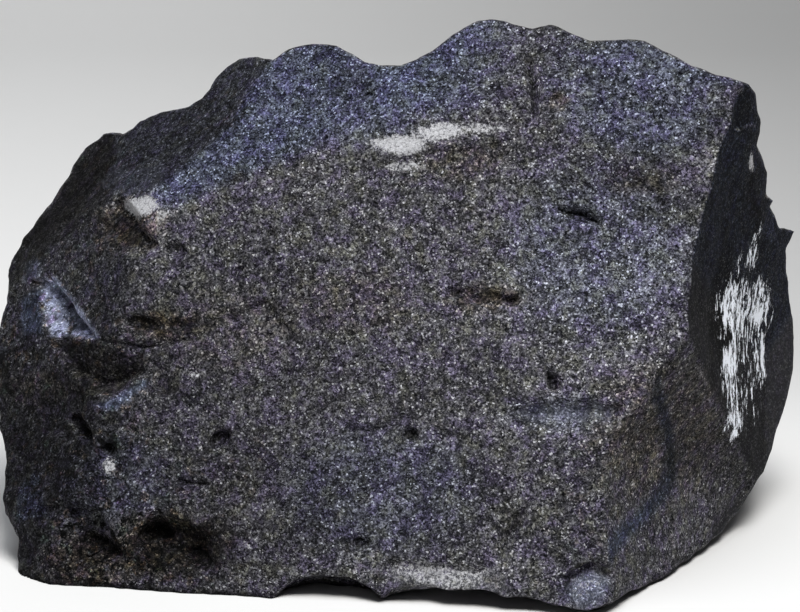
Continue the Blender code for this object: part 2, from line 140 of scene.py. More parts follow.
# The back: which way each fracture faces, in degrees to the right of the front and up from the
# level, and how far it stands from the heart of the stone
BACK_FACES = {
    "back": (178.0, 8.0, 27.0),
    "back_top": (168.0, 50.0, 34.0),
    "back_left": (-132.0, 10.0, 51.5),
    "back_left_top": (-146.0, 44.0, 45.0),
    "back_right": (152.0, 2.0, 44.0),
    "back_right_top": (140.0, 44.0, 46.0),
    "back_foot": (178.0, -38.0, 30.0),
    "left_foot": (-112.0, -40.0, 57.0),
    "right_foot": (130.0, -40.0, 54.0),
}

# Balls that flakes were struck along: middle in sight places, and radius
FLAKE_SCARS = {
    "arch_left": (-9.4, -46.4, 18.5, 10.6),
    "arch_middle": (1.4, -42.9, 21.5, 6.2),
    "arch_right": (11.4, -78.3, 12.4, 41.8),
    "back_bite": (-14.0, 20.0, -58.0, 34.0),
    "back_low_bite": (22.0, -6.0, -62.0, 36.0),
    "left_back_bite": (-66.0, 4.0, -34.0, 24.0),
    "top_bite": (16.0, 62.0, -22.0, 32.0),
}

# Chips in the front: how deep each goes, and its corners in the view. From the side that leads to
# the next corner, the chip deepens over so many pixels: few make a step, many a slope.
CHIPS = {
    "tip_recess": (2.8, (123, 199, 3), (164, 246, 22), (150, 264, 40), (96, 244, 40), (98, 212, 14)),
    "light_triangle": (4.4, (30, 278, 14), (52, 272, 3), (100, 337, 10), (50, 337, 42)),
    "dark_hollow": (3.6, (46, 336, 22), (99, 336, 46), (150, 347, 5), (149, 376, 8),
                    (127, 389, 9), (83, 397, 22)),
    "round_hollow": (1.3, (150, 362, 16), (170, 352, 24), (192, 362, 22), (190, 382, 9),
                     (172, 399, 6), (152, 393, 6)),
    "green_facet": (1.4, (20, 345, 18), (70, 352, 30), (92, 400, 20), (80, 446, 12), (24, 440, 30)),
    "left_ledge": (1.8, (14, 512, 8), (62, 500, 4), (104, 513, 5), (132, 562, 30), (50, 580, 60)),
    "brown_hollow": (2.0, (130, 530, 12), (160, 507, 9), (216, 536, 14), (216, 572, 20),
                     (150, 570, 20)),
    "crescent": (1.3, (478, 396, 3), (560, 402, 3), (642, 389, 10), (612, 442, 26),
                 (522, 442, 30)),
    "vee_ledge": (0.7, (606, 163, 3), (640, 180, 3), (668, 174, 12), (662, 204, 24),
                  (620, 200, 22)),
    "foot_chip": (2.2, (560, 580, 4), (590, 564, 4), (614, 572, 10), (610, 612, 60), (574, 612, 12)),
    "foot_strip": (1.2, (376, 568, 4), (440, 558, 5), (492, 566, 8), (500, 600, 60), (380, 600, 60)),
    "corner_break": (1.6, (733, 80, 12), (775, 90, 60), (775, 134, 8), (733, 128, 10)),
    "top_groove_step": (0.7, (536, 55, 3), (541, 120, 20), (566, 112, 24), (566, 60, 24)),
    "middle_scar": (0.5, (320, 176, 3), (420, 148, 3), (512, 140, 14), (500, 196, 40),
                    (360, 216, 40)),
    "lower_scar": (0.7, (318, 440, 4), (405, 410, 4), (470, 438, 20), (440, 520, 50),
                   (340, 520, 40)),
    "left_scar": (0.6, (196, 330, 5), (262, 296, 4), (300, 340, 24), (262, 410, 40),
                  (204, 400, 30)),
}

# Pits in the front: place in the view, half length, half width, how far it is turned, and depth
PITS = (
    (82, 427, 17, 9, 45, 2.0), (109, 448, 9, 8, 30, 1.3), (220, 440, 13, 10, -40, 1.3),
    (177, 249, 12, 7, 10, 0.8), (143, 322, 22, 11, 10, 1.0), (104, 546, 24, 11, 20, 1.7),
    (160, 530, 19, 12, 10, 1.4), (197, 562, 18, 13, 30, 1.2), (555, 380, 8, 12, 0, 1.3),
    (410, 430, 12, 9, 20, 1.1), (360, 545, 11, 9, 10, 1.0), (488, 297, 38, 11, 12, 0.8),
    (532, 90, 7, 34, -4, 0.9), (584, 215, 22, 7, 18, 0.8), (516, 522, 8, 22, 25, 0.7),
)

PIT_FLOOR = 1.15  # above 1, so that a pit has a small flat floor

# Finer pits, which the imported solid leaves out
FINE_PITS = (
    (370, 98, 6, 5, 0, 0.8), (663, 199, 9, 6, -30, 0.8), (292, 370, 7, 5, 0, 0.7),
    (274, 236, 6, 8, 0, 0.6), (556, 102, 10, 7, 0, 0.6), (66, 337, 7, 5, 0, 1.2),
    (250, 505, 9, 6, 20, 0.5), (300, 462, 7, 5, 0, 0.4), (470, 470, 7, 5, 30, 0.5),
    (560, 500, 8, 5, -40, 0.5), (350, 330, 6, 5, 0, 0.4), (430, 232, 7, 5, 20, 0.4),
    (610, 300, 6, 5, 0, 0.4), (640, 120, 8, 5, 20, 0.4), (240, 180, 8, 5, -30, 0.4),
    (455, 290, 9, 6, 0, 0.7), (516, 300, 10, 7, 0, 0.7), (186, 326, 20, 6, 5, 0.5),
)

# Cracks and grooves: half width in pixels, depth, and the places in the view they run through
CRACKS = {
    "right_crack": (3.0, 1.1, (563, 209), (585, 213), (602, 224)),
    "top_groove": (4.0, 1.0, (529, 58), (532, 90), (538, 120)),
    "left_tick": (2.6, 0.9, (180, 478), (210, 483)),
    "arc_line": (2.6, 0.4, (470, 392), (520, 401), (580, 402), (650, 384)),
    "low_groove": (4.0, 0.6, (530, 500), (516, 522), (504, 545)),
    "low_line": (2.6, 0.6, (565, 578), (590, 566), (622, 558)),
    "diagonal": (4.0, 0.25, (498, 186), (560, 262), (650, 372)),
    "left_seam": (3.0, 0.7, (100, 338), (150, 349), (200, 338)),
}


def sight_place(across, down, near):
    """Sight place of what the view shows there, at that nearness: the offset from the picture's
    middle times what a pixel covers at that distance from the eye."""
    pixel = VIEW_PIXEL * (1.0 - near / VIEW_DISTANCE)
    return np.array([(across - VIEW_SIZE[0] / 2) * pixel, (VIEW_SIZE[1] / 2 - down) * pixel, near])


def view_place(sight):
    """Where the view shows these sight places, across and down: the same, the other way round."""
    pixel = VIEW_PIXEL * (1.0 - sight[:, 2] / VIEW_DISTANCE)
    return VIEW_SIZE[0] / 2 + sight[:, 0] / pixel, VIEW_SIZE[1] / 2 - sight[:, 1] / pixel


def to_world(sight):
    """Sight places turned to the world, where the line of sight looks along +Y and down."""
    c, s = math.cos(SIGHT_TILT), math.sin(SIGHT_TILT)
    right, up, near = sight[..., 0], sight[..., 1], sight[..., 2]
    return np.stack([right, up * s - near * c, up * c + near * s], axis=-1)


def mixed(values, salt):
    """A fixed shuffle of whole numbers into 0 to 1: multiply, shift and fold their bits."""
    n = (values.astype(np.int64) + salt * 374761393).astype(np.uint64)
    n = (n ^ (n >> np.uint64(15))) * np.uint64(2246822519) & np.uint64(0xFFFFFFFF)
    n = (n ^ (n >> np.uint64(13))) * np.uint64(3266489917) & np.uint64(0xFFFFFFFF)
    return ((n ^ (n >> np.uint64(16))) & np.uint64(0xFFFF)).astype(float) / 65535.0


def lattice_key(cell):
    """One whole number for each cell of a noise's lattice."""
    c = cell.astype(np.int64) & 0xFFFF
    return (c[:, 0] * 73856093) ^ (c[:, 1] * 19349663) ^ (c[:, 2] * 83492791)


def smooth_noise(points, size, salt):
    """Random values on a lattice of that size, blended smoothly between its corners; -1 to 1."""
    scaled = points / size
    base = np.floor(scaled)
    t = scaled - base
    t = t * t * (3.0 - 2.0 * t)
    total = np.zeros(len(points))
    for corner in np.ndindex(2, 2, 2):
        weight = np.ones(len(points))
        for axis, far in enumerate(corner):
            weight *= t[:, axis] if far else 1.0 - t[:, axis]
        total += weight * mixed(lattice_key(base + corner), salt)
    return total * 2.0 - 1.0


def layered_noise(points, size, layers, salt):
    """Smooth noise with copies of itself at half the size and half the height."""
    total = np.zeros(len(points))
    for layer in range(layers):
        total += smooth_noise(points, size / 2**layer, salt + layer) / 2**layer
    return total


def dimples(points, size, salt):
    """Shallow round bites with sharp rims between them: the squared distance to the nearest of
    points scattered one to a cell, 0 in the middle of a bite and about 1 at its rim."""
    scaled = points / size
    base = np.floor(scaled)
    nearest = np.full(len(points), 9.0)
    for step in np.ndindex(3, 3, 3):
        cell = base + np.array(step) - 1.0
        key = lattice_key(cell)
        middle = cell + np.stack([mixed(key, salt + axis) for axis in (1, 2, 3)], axis=1)
        nearest = np.minimum(nearest, ((scaled - middle) ** 2).sum(axis=1))
    return np.minimum(nearest, 1.0)


def eased(t):
    """A smooth step from 0 to 1."""
    t = np.clip(t, 0.0, 1.0)
    return t * t * (3.0 - 2.0 * t)


def rounded_most(a, b, reach):
    """The greater of two distances, rounded where they lie within reach of each other."""
    h = np.clip(0.5 + 0.5 * (a - b) / reach, 0.0, 1.0)
    return b + (a - b) * h + reach * h * (1.0 - h)


def rounded_least(a, b, reach):
    """The lesser of two distances, rounded in the same way."""
    return -rounded_most(-a, -b, reach)


def plane_of(one, two, three):
    """Facing and offset of the plane through three sight places, facing the viewer."""
    facing = np.cross(two - one, three - one)
    facing *= math.copysign(1.0, facing[2]) / np.linalg.norm(facing)
    return facing, facing @ one


def near_on(planes, across, down):
    """Sight place that the view shows there, where the hindmost of the planes meets that sight."""
    near = MAIN_DEPTH
    for _ in range(6):
        right, up, _ = sight_place(across, down, near)
        near = min((d - f[0] * right - f[1] * up) / f[2] for f, d in planes)
    return sight_place(across, down, near)


def front_planes():
    """The main face and each front face, hinged on the ones before it, with their rounding."""
    middle = np.array([0.0, 0.0, MAIN_DEPTH])
    right = np.array([10.0, 0.0, 10.0 * MAIN_LEAN_RIGHT])
    up = np.array([0.0, 10.0, 10.0 * MAIN_LEAN_UP])
    planes, roundings = [plane_of(middle, middle + right, middle + up)], [1.0]
    for start, end, fall, rounding in FRONT_FACES.values():
        one, two = near_on(planes, *start), near_on(planes, *end)
        run = (two - one)[:2] / np.linalg.norm((two - one)[:2])
        three = one + np.array([-run[1], run[0], -fall])
        planes.append(plane_of(one, two, three))
        roundings.append(rounding)
    return planes, roundings


PLANES, ROUNDINGS = front_planes()
JOINED = [
    (list(FRONT_FACES).index(face) + 1, plane_of(*(sight_place(*p) for p in places)), rounding)
    for face, places, rounding in JOINED_FACES.values()
]


def chip_share(across, down, corners):
    """How much of its depth a chip has reached at these places of the view: the distance inside
    each of its sides over that side's run, the least of them counting."""
    places = np.array([c[:2] for c in corners], float)
    middle = places.mean(axis=0)
    share = np.ones(len(across))
    for k, (x, y, run) in enumerate(corners):
        end = places[(k + 1) % len(corners)]
        side = np.array([y - end[1], end[0] - x]) / math.dist((x, y), end)
        side *= math.copysign(1.0, side @ (middle - (x, y)))
        share = np.minimum(share, ((across - x) * side[0] + (down - y) * side[1]) / run)
    return np.maximum(share, 0.0)


def pit_share(across, down, pit):
    """How much of its depth a pit has reached: a smooth bowl over a turned ellipse."""
    x, y, long, wide, turned, _ = pit
    c, s = math.cos(math.radians(turned)), math.sin(math.radians(turned))
    one = ((across - x) * c + (down - y) * s) / long
    two = ((down - y) * c - (across - x) * s) / wide
    return eased(PIT_FLOOR - one**2 - two**2)


def crack_share(across, down, width, stops):
    """How much of its depth a crack has reached: a ridge of distance to the nearest of the
    straight stretches between its stops."""
    nearest = np.full(len(across), 99.0)
    for (ax, ay), (bx, by) in zip(stops, stops[1:]):
        length = math.dist((ax, ay), (bx, by))
        along = ((across - ax) * (bx - ax) + (down - ay) * (by - ay)) / length**2
        along = np.clip(along, 0.0, 1.0)
        gap = np.hypot(across - ax - along * (bx - ax), down - ay - along * (by - ay))
        nearest = np.minimum(nearest, gap)
    return np.maximum(1.0 - nearest / width, 0.0)


def small_cuts(across, down, wander):
    """How deep pits and cracks cut into the front, at places of the view that wander a little, so
    that no cut has a straight edge."""
    across, down = across + WANDER_CUTS * wander[:, 0], down + WANDER_CUTS * wander[:, 1]
    depth = np.zeros(len(across))
    for pit in PITS + FINE_PITS:
        depth += pit[-1] * pit_share(across, down, pit)
    for width, deep, *stops in CRACKS.values():
        depth += deep * crack_share(across, down, width, stops)
    return depth


def front_cuts(across, down, wander):
    """How deep chips, pits and cracks together cut into the front."""
    moved = across + WANDER_CUTS * wander[:, 0], down + WANDER_CUTS * wander[:, 1]
    depth = np.zeros(len(across))
    for deep, *corners in CHIPS.values():
        depth = np.maximum(depth, deep * chip_share(*moved, corners))
    return depth + small_cuts(across, down, wander)


def gap_to(plane, sight):
    """How far sight places stand outside a plane."""
    return sight @ plane[0] - plane[1]


def cut_place(sight, wander):
    """Sight places brought nearer by what is cut from the front there, to be held to its planes."""
    cuts = front_cuts(*view_place(sight), wander)
    return sight + WANDER_FRONT * wander + np.array([0.0, 0.0, 1.0]) * cuts[:, None]


def front_side(sight, wander):
    """How far sight places stand outside the front and the right side: the most of the distances
    to their planes, with the joined faces taken off first."""
    cut = cut_place(sight, wander)
    gaps = [gap_to(plane, cut) for plane in PLANES]
    for face, plane, rounding in JOINED:
        gaps[face] = rounded_least(gaps[face], gap_to(plane, cut), rounding)
    found = gaps[0]
    for gap, rounding in zip(gaps[1:], ROUNDINGS[1:]):
        found = rounded_most(found, gap, rounding)
    return found


def outline_tables():
    """The outline's reach from the heart in the view at each of its turns, with a calm copy, and
    how near the front's edge is there."""
    outline = np.array(OUTLINE, float)
    across, down = view_place(HEART[None, :])
    out = outline - (across[0], down[0])
    turn, reach = np.arctan2(out[:, 1], out[:, 0]), np.hypot(out[:, 0], out[:, 1])
    order = np.argsort(turn)
    full = 2.0 * math.pi
    reach = np.interp(OUTLINE_TURNS, turn[order], reach[order], period=full)
    apart = np.abs(OUTLINE_TURNS[:, None] - OUTLINE_TURNS[None, :])
    weight = np.exp(-((np.minimum(apart, full - apart) / RIM_CALM_TURN) ** 2))
    calm = weight @ reach / weight.sum(axis=1)
    edge_across = across[0] + np.cos(OUTLINE_TURNS) * reach
    edge_down = down[0] + np.sin(OUTLINE_TURNS) * reach
    low, high = (np.full(len(reach), near) for near in EDGE_SEARCH)
    for _ in range(EDGE_HALVINGS):
        near = (low + high) / 2.0
        places = sight_place(edge_across, edge_down, near).T
        clear = front_side(places, np.zeros_like(places)) > 0.0
        high, low = np.where(clear, near, high), np.where(clear, low, near)
    even = np.minimum(weight @ low / weight.sum(axis=1), low)
    return reach, calm, even


REACH, CALM_REACH, EDGE_NEAR = outline_tables()


def outline_side(sight):
    """How far places stand outside the outline, which narrows and calms down behind its edge."""
    across, down = view_place(sight)
    middle_across, middle_down = view_place(HEART[None, :])
    turn = np.arctan2(down - middle_down, across - middle_across)
    reach = np.hypot(down - middle_down, across - middle_across)
    full = 2.0 * math.pi
    edge = np.interp(turn, OUTLINE_TURNS, REACH, period=full)
    calm = np.interp(turn, OUTLINE_TURNS, CALM_REACH, period=full)
    near = np.interp(turn, OUTLINE_TURNS, EDGE_NEAR, period=full)
    behind = np.maximum(near - RIM_STARTS - sight[:, 2], 0.0)
    edge = edge + (np.minimum(calm, edge + RIM_CALM_OUT) - edge) * eased(behind / RIM_CALMS)
    return (reach - edge) * VIEW_PIXEL + RIM_FALL * behind


def back_side(world):
    """How far places stand outside the ring of fractures round the back."""
    away = world - to_world(HEART)
    found = np.full(len(world), -99.0)
    for bearing, rise, distance in BACK_FACES.values():
        a, e = math.radians(bearing), math.radians(rise)
        facing = np.array([math.sin(a) * math.cos(e), -math.cos(a) * math.cos(e), math.sin(e)])
        found = rounded_most(found, away @ facing - distance, ROUND_BACK)
    return found


def outside(sight, wander):
    """Below 0 inside the stone and above 0 outside it: the most of the distances to the front, the
    outline, the back, the flake scars and the supporting surface."""
    found = rounded_most(front_side(sight, wander), outline_side(sight), ROUND_RIM)
    found = rounded_most(found, back_side(to_world(sight + WANDER_BACK * wander)), ROUND_BACK)
    for right, up, near, radius in FLAKE_SCARS.values():
        gap = radius - np.linalg.norm(sight + WANDER_SCARS * wander - (right, up, near), axis=1)
        found = rounded_most(found, gap, ROUND_SCARS)
    return np.maximum(found, REST_LEVEL - to_world(sight)[:, 2])


def block_rays(gaps):
    """Rays to an even grid over the six sides of the block, as their places on it from -1 to 1,
    and the squares between them. An edge that two sides share has one row of rays."""
    counts = [2 * round(half / gap) for half, gap in zip(BLOCK, gaps)]
    corners, squares, start = [], [], 0
    for axis in range(3):
        one, two = (axis + 1) % 3, (axis + 2) % 3
        i, j = np.meshgrid(np.arange(counts[one] + 1), np.arange(counts[two] + 1), indexing="ij")
        number = np.arange(i.size).reshape(i.shape)
        quads = np.stack([number[:-1, :-1], number[1:, :-1], number[1:, 1:], number[:-1, 1:]], -1)
        quads = quads.reshape(-1, 4)
        for side in (0, counts[axis]):
            place = np.zeros((i.size, 3), int)
            place[:, axis], place[:, one], place[:, two] = side, i.ravel(), j.ravel()
            squares.append((quads if side else quads[:, ::-1]) + start)
            corners.append(place)
            start += i.size
    places, index = np.unique(np.concatenate(corners), axis=0, return_inverse=True)
    return places / np.array(counts) * 2.0 - 1.0, index.reshape(-1)[np.concatenate(squares)]


def halved(start, step, low, high, wander):
    """Where each ray leaves the stone, by halving the stretch from low to high again and again."""
    for _ in range(HALVINGS):
        middle = (low + high) / 2.0
        out = outside(start + step * middle[:, None], wander) > 0.0
        high, low = np.where(out, middle, high), np.where(out, low, middle)
    return (low + high) / 2.0


def carve(rays):
    """Where each ray leaves the stone: found once on even faces, and again with the wander that
    its faces have near there. Gives the places and the wander."""
    start = HEART + rays * BLOCK * (PLATE_SHARE, PLATE_SHARE, 0.0)
    step = HEART + rays * BLOCK - start
    still = np.zeros_like(rays)
    found = halved(start, step, np.zeros(len(rays)), np.full(len(rays), RAY_END), still)
    near = start + step * found[:, None]
    wander = np.stack([layered_noise(near, WANDER_SIZE, 3, salt) for salt in (11, 21, 31)], axis=1)
    low, high = np.maximum(found - WANDER_REACH, 0.0), found + WANDER_REACH
    found = halved(start, step, low, high, wander)
    return start + step * found[:, None], wander


def facing_of(points, squares):
    """Outward direction at each point: the mean of the squares that meet there."""
    a, b, c, d = (points[squares[:, k]] for k in range(4))
    across = np.cross(c - a, d - b)
    total = np.stack([
        sum(np.bincount(squares[:, k], across[:, axis], len(points)) for k in range(4))
        for axis in range(3)
    ], axis=1)
    return total / np.linalg.norm(total, axis=1)[:, None]


def roughened(points, squares):
    """Broken texture, along the surface's facing: waves, shallow bites, a coarse grain and a fine
    one, with the left and the foot rougher than the rest."""
    across, down = view_place(points)
    left = ROUGH_LEFT[0] * eased((ROUGH_LEFT[1] - across) / ROUGH_LEFT[2])
    foot = ROUGH_FOOT[0] * eased((down - ROUGH_FOOT[1]) / ROUGH_FOOT[2])
    rough = ROUGH_EVEN + left + foot
    relief = WAVES[0] * layered_noise(points, WAVES[1], 3, 5)
    relief += BITES[0] * rough * (dimples(points, BITES[1], 3) - BITE_MIDDLE)
    relief += GRIT[0] * rough * layered_noise(points, GRIT[1], 2, 9)
    relief += FINE_GRIT[0] * layered_noise(points, FINE_GRIT[1], 1, 15)
    return points + facing_of(points, squares) * relief[:, None]


class Wire:
    """A socket's output that can be reckoned with: each operator adds its Math node."""

    def __init__(self, graph, socket):
        self.graph = graph
        self.socket = socket

    def math(self, operation, *values):
        """A Math node over these values."""
        return self.graph.node("ShaderNodeMath", {"operation": operation}, *values)

    def __add__(self, other):
        return self.math("ADD", self, other)

    def __radd__(self, other):
        return self.math("ADD", other, self)

    def __sub__(self, other):
        return self.math("SUBTRACT", self, other)

    def __rsub__(self, other):
        return self.math("SUBTRACT", other, self)

    def __mul__(self, other):
        return self.math("MULTIPLY", self, other)

    def __rmul__(self, other):
        return self.math("MULTIPLY", other, self)

    def between(self, low, high):
        """A smooth step: 0 at low, 1 at high."""
        return self.graph.node(
            "ShaderNodeMapRange", {"interpolation_type": "SMOOTHSTEP"}, self, low, high, 0.0, 1.0
        )


class Graph:
    """A new material's nodes, with its Principled BSDF ready to be fed."""

    def __init__(self, name):
        self.material = bpy.data.materials.new(name)
        self.material.use_nodes = True
        self.tree = self.material.node_tree
        self.shader = self.tree.nodes["Principled BSDF"]

    def put(self, socket, value):
        """Feed a socket: linked to a wire, or set to a number, a colour or a vector."""
        if isinstance(value, Wire):
            self.tree.links.new(value.socket, socket)
        elif isinstance(value, tuple) and len(value) == 3 and socket.type == "RGBA":
            socket.default_value = (*value, 1.0)
        else:
            socket.default_value = value

    def node(self, kind, settings=None, *values, out=0, **named):
        """A node of that kind: settings first, then its sockets in order or by name."""
        node = self.tree.nodes.new(kind)
        for key, value in (settings or {}).items():
            if key == "stops":
                self.set_stops(node.color_ramp, value)
            else:
                setattr(node, key, value)
        for socket, value in zip(node.inputs, values):
            self.put(socket, value)
        for key, value in named.items():
            self.put(node.inputs[key.replace("_", " ")], value)
        return Wire(self, node.outputs[out])

    def set_stops(self, ramp, stops):
        """Give a colour ramp these places and colours."""
        while len(ramp.elements) < len(stops):
            ramp.elements.new(0.5)
        for element, (place, colour) in zip(ramp.elements, stops):
            element.position = place
            element.color = (*colour, 1.0)

    def mix(self, kind, share, one, two):
        """Two colours mixed in that way, by that share."""
        node = self.tree.nodes.new("ShaderNodeMix")
        node.data_type = "RGBA"
        node.blend_type = kind
        self.put(node.inputs["Factor"], share)
        self.put(node.inputs[6], one)
        self.put(node.inputs[7], two)
        return Wire(self, node.outputs[2])

    def feed(self, **sockets):
        """Feed the Principled BSDF's sockets by name."""
        for key, value in sockets.items():
            self.put(self.shader.inputs[key.replace("_", " ")], value)


# Colours of the grain, as light reflected: from the matrix between the crystals to the pale ones
MATRIX_STOPS = (
    (0.00, (0.002, 0.002, 0.003)), (0.34, (0.013, 0.013, 0.015)), (0.52, (0.042, 0.041, 0.047)),
    (0.68, (0.088, 0.086, 0.097)), (1.00, (0.270, 0.267, 0.290)),
)
# Pale crystals, brighter than their own colour so as to be partly painted glints
PALE_CRYSTAL_AND_GLINT = (0.56, 0.56, 0.59)
BLACK_CRYSTAL = (0.004, 0.004, 0.005)
VIOLET_TINT = (1.00, 0.91, 1.18)
OLIVE_TINT = (1.04, 1.06, 0.86)
# Blue: partly a cool tone of the stone, partly painted bluish sky light on faces turned up
BLUE_TINT = (0.82, 0.98, 1.36)
BROWN_TINT = (1.20, 1.00, 0.72)
GREEN_TINT = (0.84, 1.04, 0.92)
PURPLE_TINT = (1.12, 0.90, 1.12)
RUST_TINT = (1.22, 0.98, 0.76)
BRUISE = (0.58, 0.58, 0.60)
# Painted glare of the glossy right face, with a little pale mineral
GLARE_AND_MINERAL_WHITE = (0.90, 0.93, 1.00)
SMOOTH_FACE = (0.030, 0.030, 0.034)
PALE_FACE = (0.125, 0.127, 0.148)


# How many of each texture's features there are to the millimetre
PER_MM = {
    "stir": 2.4, "crystals": 4.8, "clots": 1.7, "dust": 3.5, "lumps": 1.05, "gaps": 1.25,
    "patchy": 0.16, "clouds": 0.40, "brown": 0.9, "stain": 0.46, "smear": 0.62, "clefts": 0.85,
    "glints": 1.1, "hollow_shade": 1.6, "crumbs": 2.3, "streaks": 1.7, "relief": 1.3,
}
STIR = 0.14  # how far the stirring bends the crystals' edges, in millimetres
STREAK_STRETCH = (1.0, 0.45, 0.22)  # makes the streaks of painted glare long and upright

# The grain's tone: its middle, and how much each texture sways it
MIDDLE_TONE = 0.56
TONE_SWAYS = {"dust": 2.0, "crystal": 0.32, "clot": 0.30, "lumps": 0.42, "patchy": 0.38}
GAPS_DARKEN = 0.50

# Gloss and relief: roughness of the dull grain, how much less the glossy crystals have, the share
# of light that mirrors, and the relief's depth in metres
DULL = 0.90
GLOSSIER = 0.50
SHEEN = 0.09
RELIEF_DEPTH = 0.00016


def basalt():
    """Broken basalt: a fine matrix in violet and olive clouds with black and pale crystals of a
    quarter of a millimetre, the pale ones partly painted glints, tinted blue (partly painted sky
    light) or brown by place, with painted light and shade on faces and painted shade in hollows,
    darker on smooth dark skins, with crumbled bruises and upright streaks of painted glare with a
    little pale mineral."""
    g = Graph("basalt_grain")
    place = g.node("ShaderNodeTexCoord", out=3)
    mm = g.node("ShaderNodeVectorMath", {"operation": "SCALE"}, place, Scale=1.0 / MM)

    def mask(name):
        """The mask of that name, from 0 to 1: a finish, a tint, or painted light and shade."""
        return g.node("ShaderNodeAttribute", {"attribute_name": name}, out=2)

    def noise(name, detail, roughness=0.5, at=mm):
        """The noise of that name, about 0.5."""
        return g.node("ShaderNodeTexNoise", None, Vector=at, Scale=PER_MM[name], Detail=detail,
                      Roughness=roughness)

    def cells(name, at):
        """Cells in random colours."""
        return g.node("ShaderNodeTexVoronoi", None, Vector=at, Scale=PER_MM[name], out=1)

    blue, brown, light, mottle = mask("blue"), mask("brown"), mask("light"), mask("mottle")
    deep, bruise, smooth, mineral = mask("deep"), mask("bruise"), mask("smooth"), mask("mineral")
    pale = mask("pale")

    # The grain: crystals and clots of crystals in a dusty matrix with gaps
    stir = g.node("ShaderNodeTexNoise", None, Vector=mm, Scale=PER_MM["stir"], Detail=2.0, out=1)
    stirred = g.mix("LINEAR_LIGHT", STIR, mm, stir)
    crystals = cells("crystals", stirred)
    crystal = g.node("ShaderNodeSeparateColor", None, crystals)
    gloss = g.node("ShaderNodeSeparateColor", None, crystals, out=1)
    clot = g.node("ShaderNodeSeparateColor", None, cells("clots", stirred))
    dust = noise("dust", 4.0, 0.78)
    gaps = noise("gaps", 3.0, 0.6).between(0.63, 0.75)
    sways = {"dust": dust, "crystal": crystal, "clot": clot, "lumps": noise("lumps", 3.0, 0.6),
             "patchy": noise("patchy", 4.0, 0.6)}
    tone = MIDDLE_TONE - gaps * GAPS_DARKEN
    for name, sway in sways.items():
        tone = tone + (sway - 0.5) * TONE_SWAYS[name]
    grain = g.node("ShaderNodeValToRGB", {"stops": MATRIX_STOPS}, tone)
    clouds = noise("clouds", 4.0, 0.65)
    grain = g.mix("MULTIPLY", clouds.between(0.50, 0.40), grain, VIOLET_TINT)
    grain = g.mix("MULTIPLY", clouds.between(0.52, 0.64), grain, OLIVE_TINT)
    grain = g.mix("MIX", crystal.between(0.11, 0.05) * 0.85, grain, BLACK_CRYSTAL)
    # Pale crystals, partly painted glints
    grain = g.mix("MIX", crystal.between(0.93, 0.985) * (clot * 0.8 + 0.20), grain, PALE_CRYSTAL_AND_GLINT)

    # Smooth and pale skins over the grain, and tints by place
    colour = g.mix("MIX", smooth * 0.80, grain, SMOOTH_FACE)
    colour = g.mix("MIX", pale * (dust.between(0.20, 0.75) * 0.5 + 0.5), colour, PALE_FACE)
    # The blue tint is partly painted sky light on faces turned up
    colour = g.mix("MULTIPLY", blue, colour, BLUE_TINT)
    colour = g.mix("MULTIPLY", brown * noise("brown", 3.0).between(0.30, 0.62), colour, BROWN_TINT)

    # Mottling: green, purple and rusty stains; painted shade in dark clefts, painted lighter glints
    stain = noise("stain", 3.0, 0.6)
    colour = g.mix("MULTIPLY", mottle * stain.between(0.60, 0.70), colour, GREEN_TINT)
    colour = g.mix("MULTIPLY", mottle * stain.between(0.40, 0.32), colour, PURPLE_TINT)
    smear = noise("smear", 4.0, 0.65).between(0.55, 0.66)
    colour = g.mix("MULTIPLY", mottle * smear, colour, RUST_TINT)
    clefts = noise("clefts", 5.0, 0.76).between(0.52, 0.41) * mottle
    glints = noise("glints", 5.0, 0.75).between(0.56, 0.68) * mottle

    # Painted light and shade of faces and places; painted shade of cracks and pits, crumbly edged
    hollow_shade = (deep * 0.8 + (noise("hollow_shade", 4.0, 0.75) - 0.5) * 2.0).between(0.42, 0.85)
    hollow_shade = hollow_shade * deep.between(0.0, 0.15)
    shaded = light * (1.0 - hollow_shade * 0.72) * (1.0 - clefts * 0.78) * (1.0 + glints)
    shade = g.node("ShaderNodeCombineColor", None, shaded, shaded, shaded)
    colour = g.mix("MULTIPLY", 1.0, colour, shade)

    # Crumbled bruises, and upright streaks of painted glare with a little pale mineral
    crumbs = (bruise + (noise("crumbs", 5.0, 0.8) - 0.5) * 3.2).between(0.42, 0.95)
    colour = g.mix("MIX", crumbs * (dust.between(0.25, 0.60) * 0.75 + 0.25), colour, BRUISE)
    stretched = g.node("ShaderNodeMapping", None, mm, Scale=STREAK_STRETCH)
    streaks = (noise("streaks", 5.0, 0.8, stretched) - 0.5) * 4.4 + mineral * 0.70
    streaks = streaks.between(0.54, 0.66) * mineral.between(0.0, 0.25)
    colour = g.mix("MIX", streaks, colour, GLARE_AND_MINERAL_WHITE)

    rough = DULL - gloss.between(0.80, 1.0) * GLOSSIER
    height = crystal * 0.5 + dust * 1.3 + noise("relief", 3.0, 0.6) * 1.2 - gaps
    height = height * (1.0 - smooth * 0.75)
    normal = g.node("ShaderNodeBump", None, Strength=1.0, Distance=RELIEF_DEPTH, Height=height)
    g.feed(Base_Color=colour, Roughness=rough, Normal=normal, Specular_IOR_Level=SHEEN)
    return g.material


# How much darker each face is than the main face, how blue, and how smooth
# The darkening is painted shade on faces turned away from the lamps, partly a duller skin
FACE_SHADE_AND_FINISH = {
    "left_bevel": (0.70, 0.35, 0.0), "left_bevel_top": (0.60, 0.35, 0.0),
    "outer_left": (0.80, 0.0, 0.0), "far_left_turn": (0.50, 0.1, 0.1),
    "upper_band": (0.0, 0.85, 0.0), "upper_band_left": (0.05, 0.75, 0.0),
    "upper_right": (0.0, 0.6, 0.0), "right_upper": (0.83, 1.0, 0.4),
    "right_middle": (0.78, 0.0, 0.8), "right_ledge": (0.42, 0.0, 1.0),
    "right_scar": (0.38, 0.0, 0.0),
}
FACE_EDGE = 0.6  # how far from a face's plane its finish and painted shade have faded out
FACE_TURN = (0.84, 0.94)  # how far a point must face the face's way, as a cosine: from none to all
